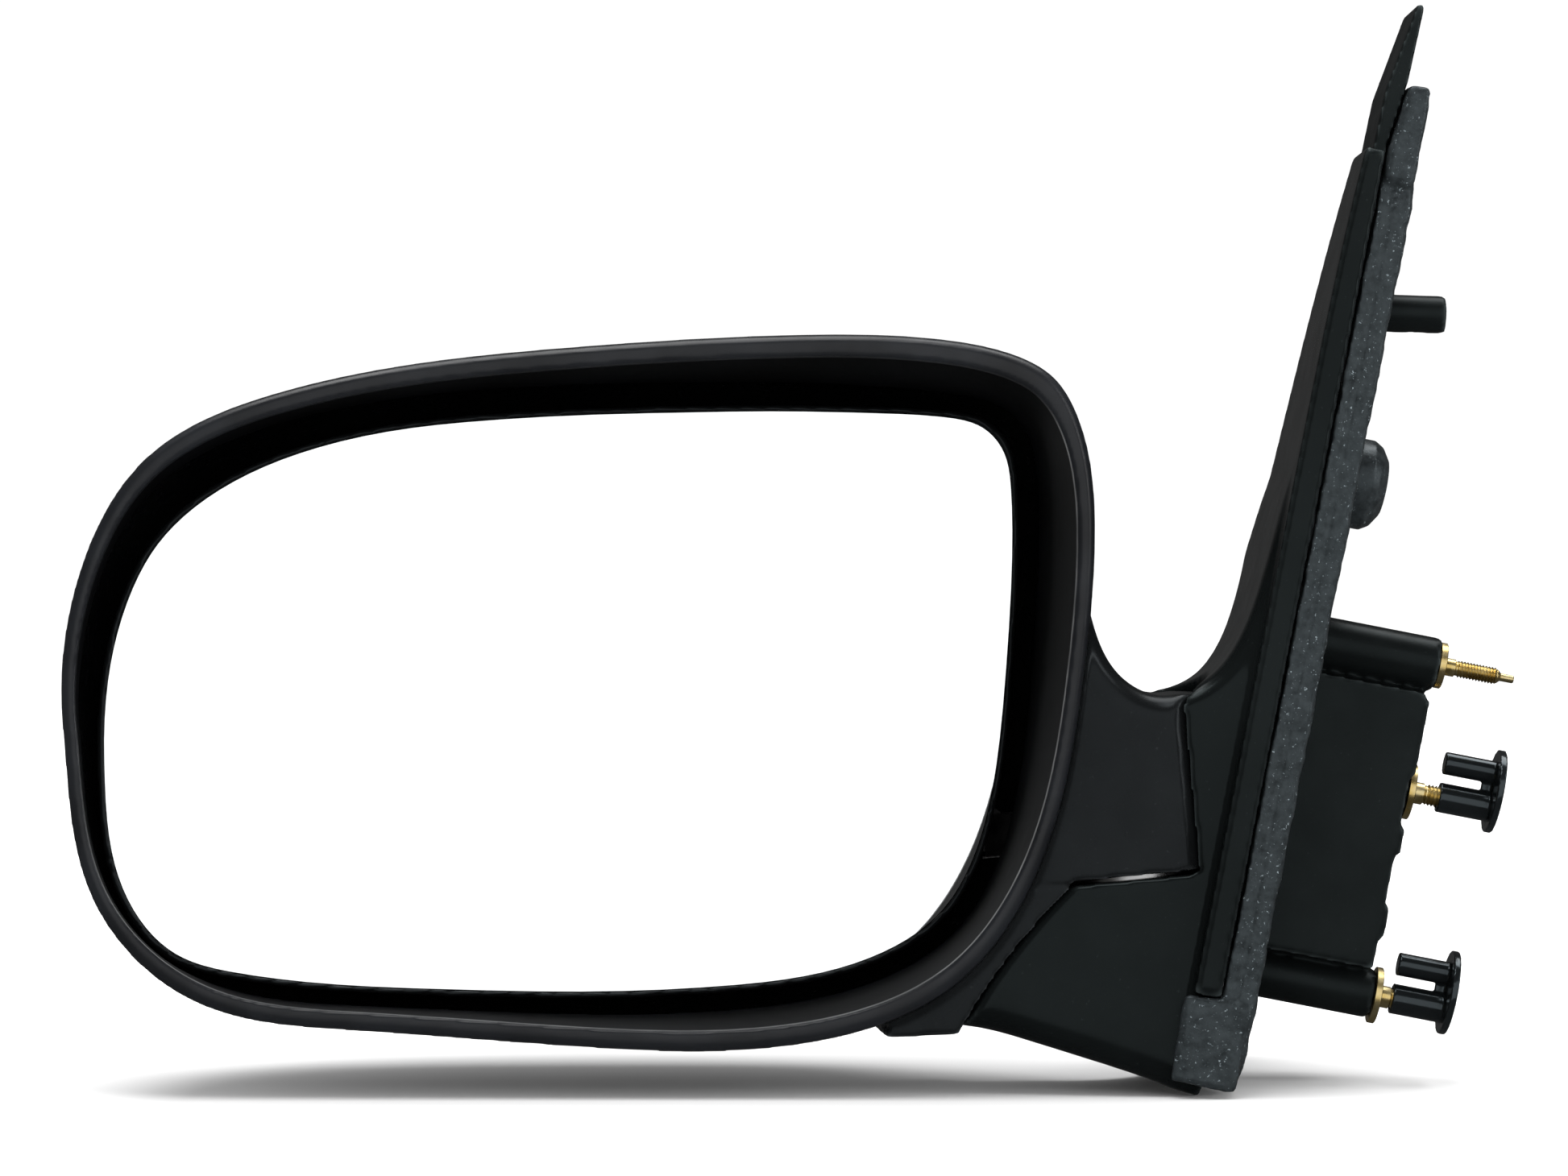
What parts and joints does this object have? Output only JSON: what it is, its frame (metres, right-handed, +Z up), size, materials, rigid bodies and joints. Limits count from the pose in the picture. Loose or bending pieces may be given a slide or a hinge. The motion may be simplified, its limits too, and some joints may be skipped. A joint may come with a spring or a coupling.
{
  "type": "car side mirror",
  "caption": "Left-hand door mirror with a deep oval housing, hand-set glass on a ball pivot, folding neck, leaning triangular sail and studs for the door.",
  "frame": {"origin": "centre of the front stud's seat flange, where it meets the door", "axes": "+X points inboard into the door, +Y towards the front of the car, +Z up; the glass faces -Y"},
  "size_m": [0.3217, 0.107, 0.2391],
  "materials": {
    "arm_plastic": "satin black moulding, smooth",
    "frame_plastic": "matt black moulding",
    "housing_plastic": "fine-grained black moulding",
    "rim_plastic": "fine-grained black rim, dull recess",
    "carrier_plastic": "smooth black moulding",
    "seal_rubber": "dusty black rubber",
    "bumper_rubber": "dull black rubber",
    "cap_plastic": "glossy black push-on cap",
    "zinc": "yellow zinc plate",
    "screw_steel": "zinc-plated screw",
    "post_steel": "turned steel, lightly oiled",
    "spring_steel": "drawn spring wire",
    "cast_bracket": "as die-cast",
    "nylon": "natural nylon",
    "foam": "closed-cell adhesive foam",
    "mirror": "silvered glass"
  },
  "bodies": {
    "base": {"base_arm": "arm_plastic", "base_frame": "frame_plastic", "door_seal": "seal_rubber", "rubber_bumper": "bumper_rubber", "stud_front": "zinc", "stud_lower": "zinc", "stud_upper": "zinc", "frame_screws": "screw_steel", "pivot_post": "post_steel", "detent_plate": "post_steel", "fold_spring": "spring_steel", "spring_cup": "post_steel", "retaining_clip": "spring_steel"},
    "head": {"housing_shell": "housing_plastic", "rim_bezel": "rim_plastic", "pivot_bracket": "cast_bracket", "bracket_screws": "screw_steel", "detent_balls": "post_steel", "ball_stud": "post_steel", "wear_washer": "nylon"},
    "ball_cup": {"friction_cup": "nylon"},
    "glass": {"mirror_glass": "mirror", "adhesive_pad": "foam", "glass_carrier": "carrier_plastic", "cup_retainer": "carrier_plastic", "retainer_screws": "screw_steel"},
    "cap_front": {"stud_cap_front": "cap_plastic"},
    "cap_lower": {"stud_cap_lower": "cap_plastic"}
  },
  "joints": [
    {"name": "head_fold", "type": "hinge", "parent": "base", "child": "head", "pos_m": [-0.0658, -0.022, -0.0175], "axis": [-0.0958, 0, 0.9954], "range_deg": [-20, 50]},
    {"name": "glass_pan", "type": "hinge", "parent": "head", "child": "ball_cup", "pos_m": [-0.19321, -0.0081, 0.021], "axis": [0, 0, 1], "range_deg": [-3, 5]},
    {"name": "glass_tilt", "type": "hinge", "parent": "ball_cup", "child": "glass", "pos_m": [-0.19321, -0.0081, 0.021], "axis": [0.9925, 0.1219, 0], "range_deg": [-5, 5]},
    {"name": "cap_front_pull", "type": "slide", "parent": "base", "child": "cap_front", "axis": [0.9816, 0, -0.1908], "range_m": [0, 0.04]},
    {"name": "cap_lower_pull", "type": "slide", "parent": "base", "child": "cap_lower", "axis": [0.9816, 0, -0.1908], "range_m": [0, 0.04]}
  ]
}
